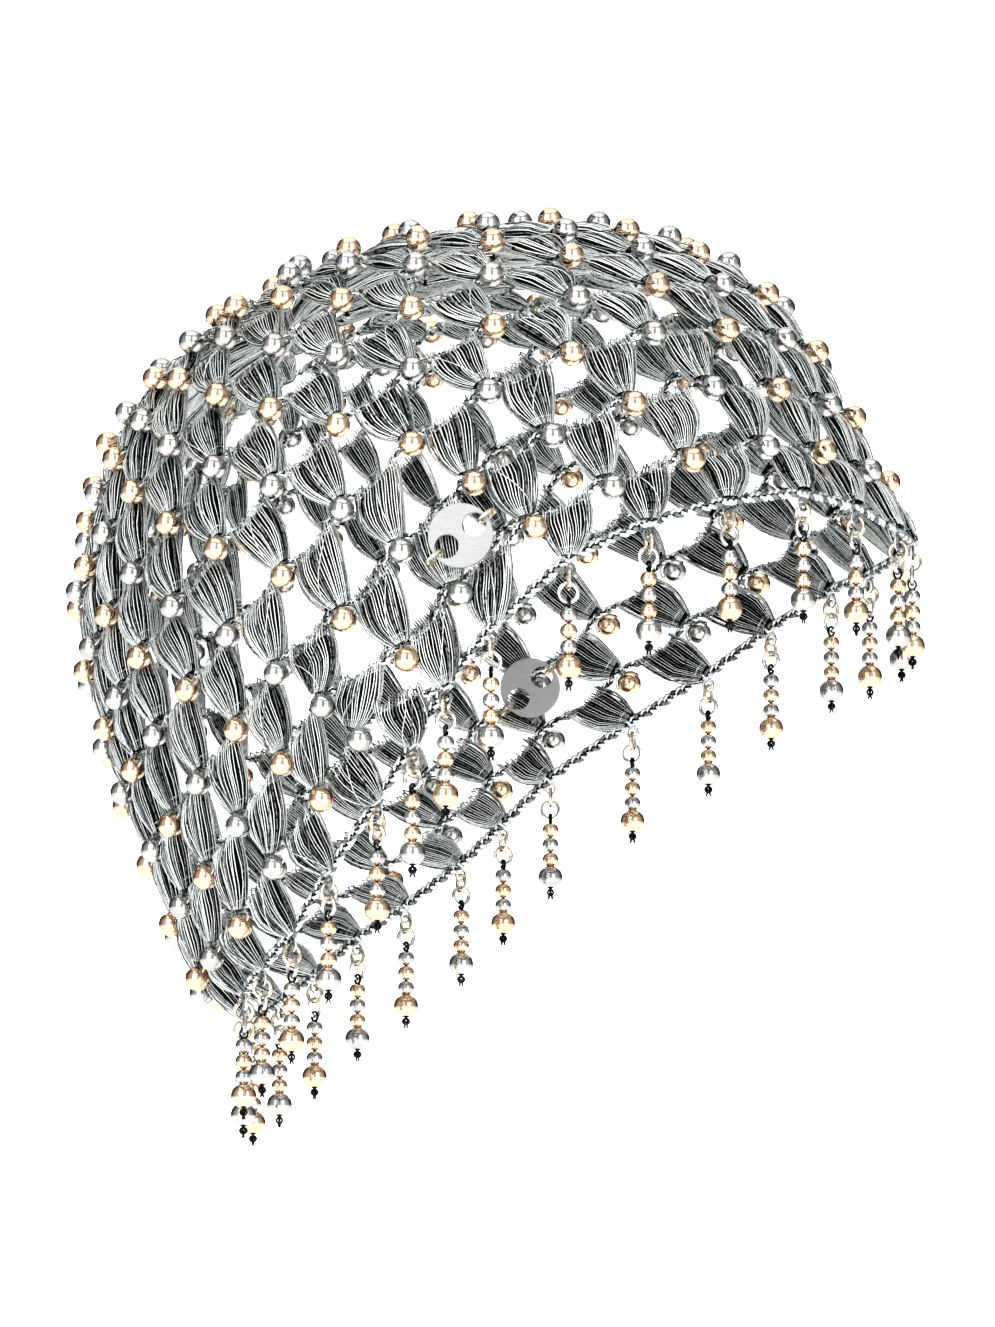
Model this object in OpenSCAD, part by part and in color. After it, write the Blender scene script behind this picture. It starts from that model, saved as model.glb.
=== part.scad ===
// Crocheted cap of metallic yarn in the form it has when worn. Puff stitches hang
// from a chain that spirals from the crown to the rim, a bead sits at each knot of
// the chain, and a drop of four beads hangs from each foot of the rim. +X is the
// wearer's left, -Y the face and +Z up. The origin is the inside of the crown,
// where a head carries the cap.

/* [Fit] */
// Backward tilt of the crown, in degrees from upright
crown_tilt = 37; // [30:1:42]
// Width of a puff at its fullest, as a share of the step between two knots
puff_fullness = 0.62; // [0.5:0.02:0.66]

/* [Yarn] */
// Diameter of the plaited chain between two knots
chain_d = 2.4; // [1.8:0.1:2.5]
// Dip of the chain where a puff hangs from it, as a share of the way to the puff's knot
chain_dip = 0.24; // [0.2:0.02:0.26]
// Diameter of the plaited cord of the rim
rim_d = 2.7; // [2.2:0.1:2.8]
// Thickness of a puff at its fullest
puff_t = 6; // [4:0.2:6.4]
// Distance that a puff stands out from the chain's surface
puff_out = 1.2; // [0.4:0.2:1.6]

/* [Beads] */
// Diameter of the beads in the mesh
mesh_bead_d = 6.2; // [5.8:0.1:6.4]
// Diameter of the three small beads of a drop
small_bead_d = 4; // [3.9:0.1:4.1]
// Diameter of the large bead of a drop
large_bead_d = 6.2; // [6:0.1:6.4]

/* [Metal] */
// Diameter of the wire of the drops' rings
ring_wire_d = 1; // [0.8:0.05:1.1]
// Diameter of a drop's ring, measured to the middle of its wire
ring_d = 4.4; // [4.2:0.1:4.6]
// Diameter of a disc
disc_d = 15.4; // [14:0.1:16]
// Thickness of a disc
disc_t = 1; // [0.8:0.1:1.2]
// Diameter of a disc's two holes
disc_hole_d = 5.6; // [5:0.1:5.8]
// Distance between the middles of a disc's holes
disc_pitch = 8.2; // [8:0.1:8.6]

/* [Hidden] */
$fn = 48;
// Knots in one turn of the spiral
turn = 30;
// The rounds, a row for each level from the rim to the ring of the crown:
// half-length to the front and back, half-width, height, lean to the front,
// rise at the sides, the steps by which the columns lead to the back, and a wave
// of three crests round the cap.
FRONT = 0; BACK = 1; SIDE = 2; HEIGHT = 3; LEAN = 4; SADDLE = 5; LEAD = 6; WAVE = 7;
rounds = [
    [93, 104, 79, -32.5, -8, 12, -1.05, 2.5],
    [91.5, 109.5, 83, -15, -1, 8, -0.7, 2],
    [93, 107, 84, -1.5, -0.5, 7, -0.6, 2.5],
    [96.5, 103, 83.5, 15, 1, 6.5, -0.3, 3.5],
    [98, 100, 81, 32, 0.5, 6.5, 0, 4],
    [96.5, 96.5, 77, 47, 0.5, 8, 0.55, 2.5],
    [89.5, 90, 70.5, 62, -1.5, 8, 1.1, 2.5],
    [83.5, 81, 64.5, 75, -4.5, 8, 1.65, 2],
    [72.5, 69.5, 57, 84.5, -7, 8.5, 2.2, 1],
    [61, 61, 49, 91.5, -7, 6, 2.9, 0.5],
    [46, 46, 38.5, 96.5, -4.5, 3, 3.5, 0],
    [27, 27, 23.5, 99.5, -2, 1, 4, 0],
    [6.4, 6.4, 6.4, 100.5, 0, 0, 4.5, 0]];
top_level = len(rounds) - 1;
// Columns stand wider apart at the face and closer at the nape, in degrees.
spread = 8.4;
// Place of the face among the columns, counted from the first column.
face_column = 15;
first_column = 7;
// The first knot that hangs free of the crown's ring, the first knot of the
// rounds that have a knot in every column, and the first foot of the rim.
first_knot = 18;
full_knot = 90;
rim_knot = 330;
last_knot = rim_knot + turn - 1;
// Shift of the knots in the rim's last turn, by column. It fades out over four
// rounds toward the crown.
COLUMN = 0; FORWARD = 1; RISE = 2;
rim_trim = [
    [7, 6, -4.5],
    [8, -1, -4.5],
    [9, 0, 1.5],
    [12, 0, 2.5],
    [13, -1.5, 0],
    [14, 0, -4],
    [17, 3, -3],
    [18, 6, 0],
    [20, 4.5, -1.5],
    [22, -4, 0],
    [24, 3.5, 5.5],
    [26, 1, 6.5],
    [29, -4, -3],
    [31, -3.5, -1.5],
    [33, 1, -3.5],
    [35, 3.5, 3],
    [36, -1.5, 2]];
trim_rounds = 4;
// Height of the inside of the crown above the level of the ears
seat_h = 98;
// Where a puff leaves its chain, in steps past the knot
puff_shift = 0.5;
// Depth by which a puff's sides lie below its middle, under the beads
puff_tuck = 2;
// Greatest width of a puff, and the step from which it has its full thickness
puff_widest = 12.4;
full_step = 17;
// Clear space between a chain and the pieces beside it
gap = 0.35;
// Where a turn of chain ends before the first knot of the next turn or of the rim
join_gap = 2.8;
rim_gap = 4.8;
knot_d = 4.2;
rim_knot_d = 3.4;
bead_reach = 4.9;
// Swelling of the chain inside the loops of a puff
hang_d = 3.6;
// Distance of a cord's end from the middle of the ball that it runs into
cord_inset = 1.2;
crown_ring_d = 2.6;
// Depths below a foot of the rim: the yarn loop, the two rings, the thread loop
// and the beads. A ring hangs on the wire above it with a little clear space.
link_gap = 0.2;
foot_d = 2.7;
foot_cord_d = 1.2;
foot_z = 2.9;
hook_z = foot_z + (foot_d - foot_cord_d + ring_d - ring_wire_d) / 2 - link_gap;
eye_z = hook_z + ring_d - ring_wire_d - link_gap;
loop_z = eye_z + ring_d / 2;
loop_d = 2.3;
thread_d = 0.84;
small_z = loop_z + 2.9;
small_pitch = 3.8;
large_z = small_z + 2 * small_pitch + 4.6;
drop_knot_d = 2.6;
function rim_angle(m) =
    let (d = world(knot(m + 0.5)) - world(knot(m - 0.5))) atan2(d[1], d[0]);
// Discs: level, column and distance outward from the surface of each, and their
// rings. The left disc hangs on the inner side.
right_disc = [2.24, 8.37, 5.2];
left_disc = [2.31, 22.1, -6.4];
disc_ring_d = 4.4;
disc_ring_x = 7.7;
disc_ring_z = 0.7;
function turned(v) = world(v) - world([0, 0, 0]);
rounds_of_puffs = [1:11];
rounds_of_beads = [1:10];
function name(word, i) = str(word, i < 10 ? "_0" : "_", i);

// Places on the cap's surface. A place is [forward, left, up] in the cap's own
// axes, and world() turns and moves it to where the cap is worn.
function round_at(level) =
    let (i = min(max(floor(level), 0), top_level - 1), t = level - i)
    rounds[i] * (1 - t) + rounds[i + 1] * t;
function skin(level, u) =
    let (r = round_at(level), a = u + spread * sin(u), c = cos(a))
    [(c > 0 ? r[FRONT] : r[BACK]) * c, -r[SIDE] * sin(a),
     r[HEIGHT] + r[LEAN] * c - r[SADDLE] * cos(2 * a) - r[WAVE] * cos(3 * a)];
function unit(v) = v / norm(v);
function outward(level, u) =
    unit(cross(skin(level + 0.05, u) - skin(level - 0.05, u),
               skin(level, u + 1) - skin(level, u - 1)));
function world(p) =
    [p[1],
     -p[0] * cos(crown_tilt) + p[2] * sin(crown_tilt) - seat_h * sin(crown_tilt),
     p[0] * sin(crown_tilt) + p[2] * cos(crown_tilt) - seat_h * cos(crown_tilt)];
up = [sin(crown_tilt), 0, cos(crown_tilt)];
face = [cos(crown_tilt), 0, -sin(crown_tilt)];

// Knots are numbered along the spiral from the crown, turn by turn.
function level_of(m) = top_level - m / turn;
function column_of(m) = first_column + m - turn * floor(m / turn);
function angle_at(level, column) = (face_column + round_at(level)[LEAD] - column) * 360 / turn;
function angle_of(m) = angle_at(level_of(m), column_of(m));
function trim(column, item) =
    lookup(column, [for (r = rim_trim) [r[COLUMN], r[item]]]);
function knot(m) =
    let (c = column_of(m), fade = max(0, 1 - max(level_of(m) - 0.5, 0) / trim_rounds))
    skin(level_of(m), angle_of(m)) + fade * (face * trim(c, FORWARD) + up * trim(c, RISE));
function knot_step(m) = m < full_knot ? 2 : 1;
function straight_point(m) =
    let (s = knot_step(m), a = s * floor(m / s), t = (m - a) / s)
    knot(a) * (1 - t) + knot(a + s) * t;
// The chain dips between two knots to each place where a puff hangs from it. The
// last puff has no dip, because the rim's cord climbs past it.
function puff_base(m) = m - turn + knot_step(m) * puff_shift;
function hang_point(m) =
    let (dip = m < last_knot ? chain_dip : 0)
    straight_point(puff_base(m)) * (1 - dip) + knot(m) * dip;
function hung_from(m) =
    [for (q = [m + turn:m + turn + knot_step(m) - 1]) if (q % knot_step(q) == 0) q];
function leg_after(m) = unit(hang_point(min(hung_from(m))) - knot(m));
function leg_before(m) = unit(hang_point(max(hung_from(m - knot_step(m - 1)))) - knot(m));
// A knot's bead hangs between its two legs of chain, and outward.
function bead_place(m) =
    knot(m) + bead_reach
        * unit(unit(leg_before(m) + leg_after(m)) + 1.1 * outward(level_of(m), angle_of(m)));

// The middle of a puff between its chain and the knot that gathers it, with the
// directions across it and out of it. The first puffs start from the crown's ring.
function puff_start(m) =
    puff_base(m) < first_knot - 2
        ? skin(top_level, angle_at(top_level, column_of(m)))
        : hang_point(m);
function puff_normal(m, t) =
    let (level = min(level_of(m) + 1 - t, top_level - 0.3))
    outward(level, angle_at(level, column_of(m) + puff_shift * (1 - t)));
function puff_middle(m, t) =
    let (b = puff_start(m), k = knot(m), rise = norm(k - b) * norm(k - b) / 700)
    b * (1 - t) + k * t + puff_normal(m, t) * (4 * rise * t * (1 - t));
function step_width(m, t) =
    let (k = m - turn * (1 - t))
    norm(knot(k + 0.5) - knot(k - 0.5)) * knot_step(m);
// Stations of a puff: place from chain to knot, width, thickness and outward shift
PLACE = 0; WIDE = 1; THICK = 2; OUT = 3;
function stations(m) =
    let (l = norm(knot(m) - puff_start(m)), step = step_width(m, 0.2),
         w = min(puff_fullness * step, puff_widest), size = min(1, step / full_step),
         cut = norm(cross(unit(knot(m) - puff_start(m)), unit(chain_run(m)))),
         edge = (hang_d / 2 + gap) / max(cut, 0.6))
    [[edge / l, w * 0.8, puff_t * size * 0.46, 0],
     [0.34, w, puff_t * size, puff_out * size],
     [1 - (rim_knot_d / 2 + gap + 0.3) / l, 2.2, 2.2, 0]];
function chain_run(m) =
    let (b = puff_base(m))
    b < first_knot - 2
        ? skin(top_level, angle_at(top_level, column_of(m) + 1))
            - skin(top_level, angle_at(top_level, column_of(m) - 1))
        : straight_point(b + 0.2) - straight_point(b - 0.2);
function puff_ring(m, s) =
    let (c = puff_middle(m, s[PLACE]), n = puff_normal(m, s[PLACE]),
         along = unit(knot(m) - puff_start(m)), across = unit(cross(n, along)),
         run = unit(chain_run(m)), turned_run = run * across < 0 ? -run : run,
         side = unit(turned_run * (1 - s[PLACE]) + across * s[PLACE]),
         rise = unit(cross(along, across)))
    [for (a = [0:60:300])
        world(c + side * s[WIDE] / 2 * cos(a)
            + rise * (s[OUT] + s[THICK] / 2 * sin(a) - puff_tuck * abs(cos(a)) * s[WIDE] / 10))];
function puff_points(m) = [for (s = stations(m)) each puff_ring(m, s)];
puff_faces = concat(
    [[0, 1, 2, 3, 4, 5]],
    [for (r = [0, 6], i = [0:5])
        each [[r + i, r + 6 + i, r + (i + 1) % 6], [r + (i + 1) % 6, r + 6 + i, r + 6 + (i + 1) % 6]]],
    [[17, 16, 15, 14, 13, 12]]);

// One turn of puffs, gathered at the knots from first to last.
module puffs(first, last) {
    knots = [for (m = [first:knot_step(first):last]) m];
    points = [for (m = knots) each puff_points(m)];
    faces = [for (i = [0:len(knots) - 1], f = puff_faces) [for (v = f) v + 18 * i]];
    color("slategray") polyhedron(points, faces);
}
module puff_round(k) {
    puffs(k == 1 ? first_knot : turn * k, turn * (k + 1) - 1);
}

// A straight run of cord between two places
module cord(a, b, d) {
    v = b - a;
    translate(a) rotate([0, acos(v[2] / norm(v)), atan2(v[1], v[0])]) cylinder(d = d, h = norm(v));
}
module ball(p, d) { translate(p) sphere(d = d); }
// What stands in axes of its own at a place: z as given, x as near as can be. A
// ball has its poles along z and its seam toward x.
module turned_to(p, z, x) {
    k = unit(z);
    i = unit(x - (x * k) * k);
    j = cross(k, i);
    multmatrix([for (r = [0:2]) [i[r], j[r], k[r], p[r]]]) children();
}

// Wire ring in an upright plane, seen from the side that faces the angle
module ring_upright(p, d, wire_d, angle) {
    translate(p) rotate([90, 0, angle]) rotate_extrude() translate([d / 2, 0]) circle(d = wire_d, $fn = 24);
}

// One turn of chain with a bead at each knot, up to the first knot of the next.
// Each ball has a pole where the next cord leaves it, and its seam on the side that
// nothing joins.
module bead_round(k) {
    first = k == 1 ? first_knot : turn * k;
    step = knot_step(first);
    last = turn * (k + 1) - step;
    for (m = [first:step:last]) {
        stops = [for (q = hung_from(m)) world(hang_point(q))];
        line = concat([world(knot(m))], stops, [world(knot(m + step))]);
        bead = world(bead_place(m));
        for (i = [0:len(stops)]) {
            here = line[i];
            run = line[i + 1] - here;
            far = i < len(stops) || m < last ? cord_inset : m < rim_knot - 1 ? join_gap : rim_gap;
            from = i == 0 ? here + turned(leg_before(m)) : line[i - 1];
            color("slategray") turned_to(here, run, here - from) {
                sphere(d = i == 0 ? knot_d : hang_d);
                translate([0, 0, cord_inset]) cylinder(d = chain_d, h = norm(run) - cord_inset - far);
            }
        }
        color("gainsboro") turned_to(bead, line[0] - bead, turned(leg_after(m))) sphere(d = mesh_bead_d);
    }
}

// Ring of yarn in the middle of the crown, from which the first puffs hang
module crown_ring() {
    color("slategray") translate(world([0, 0, rounds[top_level][HEIGHT]]))
        rotate([-crown_tilt, 0, 0]) rotate_extrude()
            translate([rounds[top_level][SIDE], 0]) circle(d = crown_ring_d, $fn = 24);
}

// Plaited cord of the rim. Its last turn ends one round lower and climbs back to
// its first foot. Under each foot a loop of yarn takes the drop's first ring.
module rim_chain() {
    color("slategray") for (m = [rim_knot:last_knot]) {
        next = m == last_knot ? rim_knot : m + 1;
        ball(world(knot(m)), rim_knot_d);
        cord(world(knot(m)), world(knot(next)), rim_d);
        ring_upright(world(knot(m)) - [0, 0, foot_z], foot_d, foot_cord_d, rim_angle(m));
    }
}
module hook_rings() {
    color("wheat") for (m = [rim_knot:last_knot])
        ring_upright(world(knot(m)) - [0, 0, hook_z], ring_d, ring_wire_d, rim_angle(m) + 90);
}
module eye_rings() {
    color("silver") for (m = [rim_knot:last_knot])
        ring_upright(world(knot(m)) - [0, 0, eye_z], ring_d, ring_wire_d, rim_angle(m));
}

// A drop hangs straight down from its foot: a thread loop, three small beads, a
// large bead and the knot that holds them.
module drop(i) {
    m = rim_knot + i;
    foot = world(knot(m));
    large = i % 2 == 0 ? "peachpuff" : "gainsboro";
    small = i % 2 == 0 ? "gainsboro" : "peachpuff";
    color("dimgray") ring_upright(foot - [0, 0, loop_z], loop_d, thread_d, rim_angle(m) + 90);
    for (b = [0:2])
        color(b == 1 ? large : small) ball(foot - [0, 0, small_z + b * small_pitch], small_bead_d);
    color(large) ball(foot - [0, 0, large_z], large_bead_d);
    color("dimgray") ball(foot - [0, 0, large_z + large_bead_d / 2 + 0.9], drop_knot_d);
}

// Axes on the cap's surface: along the round to the front, across it, outward
module on_surface(level, column, out) {
    u = angle_at(level, column);
    n = outward(level, u);
    x = unit(skin(level, u - 1) - skin(level, u + 1));
    along = turned(unit(x - (x * n) * n));
    rise = turned(n);
    side = cross(rise, along);
    p = world(skin(level, u) + out * n);
    multmatrix([for (r = [0:2]) [along[r], side[r], rise[r], p[r]]]) children();
}
module disc(place) {
    color("silver") on_surface(place[0], place[1], place[2]) difference() {
        cylinder(d = disc_d, h = disc_t, center = true);
        for (s = [-1, 1]) translate([s * disc_pitch / 2, 0, 0])
            cylinder(d = disc_hole_d, h = 2 * disc_t, center = true);
    }
}
// A ring at each hole goes through it and round the disc's edge to the yarn.
module disc_ring_pair(place) {
    color("wheat") on_surface(place[0], place[1], place[2]) for (s = [-1, 1])
        translate([s * disc_ring_x, 0, -disc_ring_z * sign(place[2])]) rotate([90, 0, 0]) rotate_extrude()
            translate([disc_ring_d / 2, 0]) circle(d = ring_wire_d, $fn = 24);
}
module disc_rings() {
    disc_ring_pair(right_disc);
    disc_ring_pair(left_disc);
}

crown_ring();
for (k = rounds_of_puffs) puff_round(k);
for (k = rounds_of_beads) bead_round(k);
rim_chain();
hook_rings();
eye_rings();
for (i = [0:turn - 1]) drop(i);
disc(right_disc);  // disc_right
disc(left_disc);  // disc_left
disc_rings();
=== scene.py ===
import bpy, math, random
import numpy as np
from mathutils import Matrix, Vector

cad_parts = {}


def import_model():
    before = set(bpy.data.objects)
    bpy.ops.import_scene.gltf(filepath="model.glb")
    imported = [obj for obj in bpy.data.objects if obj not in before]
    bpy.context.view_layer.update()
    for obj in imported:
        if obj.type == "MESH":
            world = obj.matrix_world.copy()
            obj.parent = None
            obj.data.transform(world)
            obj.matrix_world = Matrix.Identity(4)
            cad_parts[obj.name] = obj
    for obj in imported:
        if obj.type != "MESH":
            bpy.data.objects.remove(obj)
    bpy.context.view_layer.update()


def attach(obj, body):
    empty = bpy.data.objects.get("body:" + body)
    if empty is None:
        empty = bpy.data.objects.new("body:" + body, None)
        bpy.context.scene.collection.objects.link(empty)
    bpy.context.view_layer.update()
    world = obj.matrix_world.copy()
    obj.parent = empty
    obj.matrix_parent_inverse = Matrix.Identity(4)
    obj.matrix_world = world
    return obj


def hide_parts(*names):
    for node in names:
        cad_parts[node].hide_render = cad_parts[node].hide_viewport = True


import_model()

chance = random.Random(7)
MM = 0.001
TAU = 2 * math.pi
# Selections in edit mode are of faces.
bpy.context.tool_settings.mesh_select_mode = (False, False, True)

# Form of the cap, as in the part's source. Places are in mm in the cap's own axes:
# forward, left, up. The chain is a spiral with TURN columns. A level is a row of ROUNDS, and
# knots are numbered along the spiral from the crown.
CROWN_TILT = math.radians(37)
TURN = 30
# For each level: reach forward, back and sideways, height, the height's waves of one and two
# turns round the cap, the columns' shift, and the height's wave of three turns
ROUNDS = np.array([
    [93, 104, 79, -32.5, -8, 12, -1.05, 2.5],
    [91.5, 109.5, 83, -15, -1, 8, -0.7, 2],
    [93, 107, 84, -1.5, -0.5, 7, -0.6, 2.5],
    [96.5, 103, 83.5, 15, 1, 6.5, -0.3, 3.5],
    [98, 100, 81, 32, 0.5, 6.5, 0, 4],
    [96.5, 96.5, 77, 47, 0.5, 8, 0.55, 2.5],
    [89.5, 90, 70.5, 62, -1.5, 8, 1.1, 2.5],
    [83.5, 81, 64.5, 75, -4.5, 8, 1.65, 2],
    [72.5, 69.5, 57, 84.5, -7, 8.5, 2.2, 1],
    [61, 61, 49, 91.5, -7, 6, 2.9, 0.5],
    [46, 46, 38.5, 96.5, -4.5, 3, 3.5, 0],
    [27, 27, 23.5, 99.5, -2, 1, 4, 0],
    [6.4, 6.4, 6.4, 100.5, 0, 0, 4.5, 0]])
TOP_LEVEL = len(ROUNDS) - 1
SPREAD = 8.4
FACE_COLUMN = 15
FIRST_COLUMN = 7
FIRST_KNOT, FULL_KNOT, RIM_KNOT = 18, 90, 330
LAST_KNOT = RIM_KNOT + TURN - 1
# What shifts the rim's feet: column, forward, up
RIM_TRIM = np.array([
    [7, 6, -4.5], [8, -1, -4.5], [9, 0, 1.5], [12, 0, 2.5], [13, -1.5, 0], [14, 0, -4],
    [17, 3, -3], [18, 6, 0], [20, 4.5, -1.5], [22, -4, 0], [24, 3.5, 5.5], [26, 1, 6.5],
    [29, -4, -3], [31, -3.5, -1.5], [33, 1, -3.5], [35, 3.5, 3], [36, -1.5, 2]])
TRIM_ROUNDS = 4
SEAT_H = 98
PUFF_SHIFT = 0.5
DIP = 0.24
# A bead's distance from its knot, and how much its place leans outwards
BEAD_REACH, BEAD_LEAN = 4.9, 1.1
# Half a puff's width is this share of the distance of its knots, up to a greatest value.
HALF_SHARE, GREATEST_HALF = 0.34, 6.5
# Distance of its knots at which a puff is full size. A puff bows out by its length squared
# over BOW_LENGTH.
FULL_WIDTH, BOW_LENGTH = 17, 700
# Radii of the strands of puffs, the plies of the chain, crown and rim, and the thread
STRAND_R, CHAIN_R, CROWN_R, RIM_R, THREAD_R = 0.2, 0.46, 0.44, 0.57, 0.3
UP = np.array([math.sin(CROWN_TILT), 0, math.cos(CROWN_TILT)])
FACE = np.array([math.cos(CROWN_TILT), 0, -math.sin(CROWN_TILT)])


def unit(v):
    return v / np.linalg.norm(v)


def round_at(level):
    i = min(max(math.floor(level), 0), TOP_LEVEL - 1)
    t = level - i
    return ROUNDS[i] * (1 - t) + ROUNDS[i + 1] * t


def skin(level, angle):
    """Place on the cap's surface, with the angle in degrees from the face."""
    r = round_at(level)
    a = math.radians(angle + SPREAD * math.sin(math.radians(angle)))
    c = math.cos(a)
    return np.array([(r[0] if c > 0 else r[1]) * c, -r[2] * math.sin(a),
                     r[3] + r[4] * c - r[5] * math.cos(2 * a) - r[7] * math.cos(3 * a)])


def outward(level, angle):
    return unit(np.cross(skin(level + 0.05, angle) - skin(level - 0.05, angle),
                         skin(level, angle + 1) - skin(level, angle - 1)))


def turned(v):
    """A direction in the cap's axes as one in the row frame."""
    return np.array([v[1], -v[0] * math.cos(CROWN_TILT) + v[2] * math.sin(CROWN_TILT),
                     v[0] * math.sin(CROWN_TILT) + v[2] * math.cos(CROWN_TILT)])


def world(p):
    """A place in mm in the cap's axes as metres in the row frame."""
    return turned(np.asarray(p) - SEAT_H * np.array([0, 0, 1.0])) * MM


def level_of(m):
    return TOP_LEVEL - m / TURN


def column_of(m):
    return FIRST_COLUMN + m - TURN * math.floor(m / TURN)


def angle_at(level, column):
    return (FACE_COLUMN + round_at(level)[6] - column) * 360 / TURN


def angle_of(m):
    return angle_at(level_of(m), column_of(m))


def knot(m):
    c = column_of(m)
    fade = max(0, 1 - max(level_of(m) - 0.5, 0) / TRIM_ROUNDS)
    forward = np.interp(c, RIM_TRIM[:, 0], RIM_TRIM[:, 1])
    rise = np.interp(c, RIM_TRIM[:, 0], RIM_TRIM[:, 2])
    return skin(level_of(m), angle_of(m)) + fade * (FACE * forward + UP * rise)


def knot_step(m):
    """Near the crown only every second place has a knot."""
    return 2 if m < FULL_KNOT else 1


def straight_point(m):
    s = knot_step(m)
    a = s * math.floor(m / s)
    t = (m - a) / s
    return knot(a) * (1 - t) + knot(a + s) * t


# The chain dips between two knots to where a puff hangs from it.
def puff_base(m):
    """Place along the spiral of the chain above a puff."""
    return m - TURN + knot_step(m) * PUFF_SHIFT


def hang_point(m):
    dip = DIP if m < LAST_KNOT else 0
    return straight_point(puff_base(m)) * (1 - dip) + knot(m) * dip


def chain_line(a):
    """Places of the chain from knot a to just before the next knot."""
    s = knot_step(a)
    hung = [m for m in range(a + TURN, a + TURN + s) if m <= LAST_KNOT and m % knot_step(m) == 0]
    return [knot(a)] + [hang_point(m) for m in hung]


def legs(m):
    """Directions from a knot along the chain, back and on."""
    back = m - knot_step(m - 1)
    return unit(chain_line(back)[-1] - knot(m)), unit(chain_line(m)[1] - knot(m))


def bead_place(m):
    out = BEAD_LEAN * outward(level_of(m), angle_of(m))
    return knot(m) + BEAD_REACH * unit(unit(sum(legs(m))) + out)


class Puff:
    """The bundle of one puff stitch, from the chain above to the knot that gathers it."""

    def __init__(self, m):
        self.m = m
        base = puff_base(m)
        column = column_of(m)
        if base < FIRST_KNOT - 2:
            self.start = skin(TOP_LEVEL, angle_at(TOP_LEVEL, column))
            ahead, behind = (skin(TOP_LEVEL, angle_at(TOP_LEVEL, column + s)) for s in (1, -1))
            run = ahead - behind
        else:
            self.start = hang_point(m)
            run = straight_point(base + 0.2) - straight_point(base - 0.2)
        self.end = knot(m)
        self.length = np.linalg.norm(self.end - self.start)
        self.along = unit(self.end - self.start)
        self.column = column
        across = unit(np.cross(self.normal(0.3), self.along))
        self.run = unit(run) if unit(run) @ across >= 0 else -unit(run)
        above = m - TURN * 0.8
        width = np.linalg.norm(knot(above + 0.5) - knot(above - 0.5)) * knot_step(m)
        self.half = min(HALF_SHARE * width, GREATEST_HALF)
        self.size = min(1, width / FULL_WIDTH)
        self.lean = 0

    def normal(self, t):
        level = min(level_of(self.m) + 1 - t, TOP_LEVEL - 0.3)
        return outward(level, angle_at(level, self.column + PUFF_SHIFT * (1 - t)))

    def axes(self, t):
        """Middle of the bundle at a share t of its length, and its ways across and out."""
        n = self.normal(t)
        across = unit(np.cross(n, self.along))
        k = min(max(t, 0), 1)
        side = unit(self.run * (1 - k) + across * k)
        rise = unit(np.cross(self.along, across))
        bow = 4 * self.length ** 2 / BOW_LENGTH * max(t, 0) * (1 - t)
        return self.start * (1 - t) + self.end * t + n * bow, side, rise

    def place(self, t, x, h):
        """Place at a share t of the length, x mm across and h mm out."""
        c, side, rise = self.axes(t)
        lean = self.lean * math.sin(math.pi * min(max(t, 0), 1))
        return c + side * (x + lean) + rise * h


# Section of a puff along its length: half-width as a share, height of the outer and
# of the inner face
ALONG = [-0.15, 0, 0.15, 0.34, 0.55, 0.75, 0.9, 1]
WIDTH = [0.97, 1, 1, 0.94, 0.82, 0.64, 0.46, 0.32]
OUTER = [1.3, 1.9, 2.5, 2.7, 2.5, 2.2, 1.9, 1.8]
INNER = [-1.3, -1.6, -1.9, -2.0, -1.9, -1.7, -1.6, -1.5]
SHOULDER = 3
# Least half-width in mm, least size that thicknesses shrink to, and how far the edge lies
# under the middle
LEAST_HALF, LEAST_SIZE, EDGE_DROP = 1.2, 0.75, 0.5
# Thickness of the section as a share of its width, for even steps round it
THICK_SHARE = 0.45


def bulge(x):
    """Height across a section, flat in the middle and round at its two edges."""
    return max(0, 1 - abs(0.98 * x) ** SHOULDER) ** (1 / SHOULDER)


ACROSS = np.linspace(-1, 1, 201)
CLIMB = THICK_SHARE * np.diff([bulge(x) for x in ACROSS])
AROUND = np.concatenate([[0], np.cumsum(np.hypot(np.diff(ACROSS), CLIMB))])


def even_across(share):
    """Place across a section at a share of the way round its face."""
    return np.interp(share * AROUND[-1], AROUND, ACROSS)


def half_width(p, t):
    return max(np.interp(t, ALONG, WIDTH) * p.half, LEAST_HALF)


def puff_section(p, t, x, side):
    """Place on a puff's skin: t along it, x from -1 to 1 across it, outside or inside."""
    half = half_width(p, t)
    edge = -EDGE_DROP * p.size * min(1, half / 4)
    face = np.interp(t, ALONG, OUTER if side > 0 else INNER) * max(p.size, LEAST_SIZE)
    return p.place(t, x * half, edge + (face - edge) * bulge(x))


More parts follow.
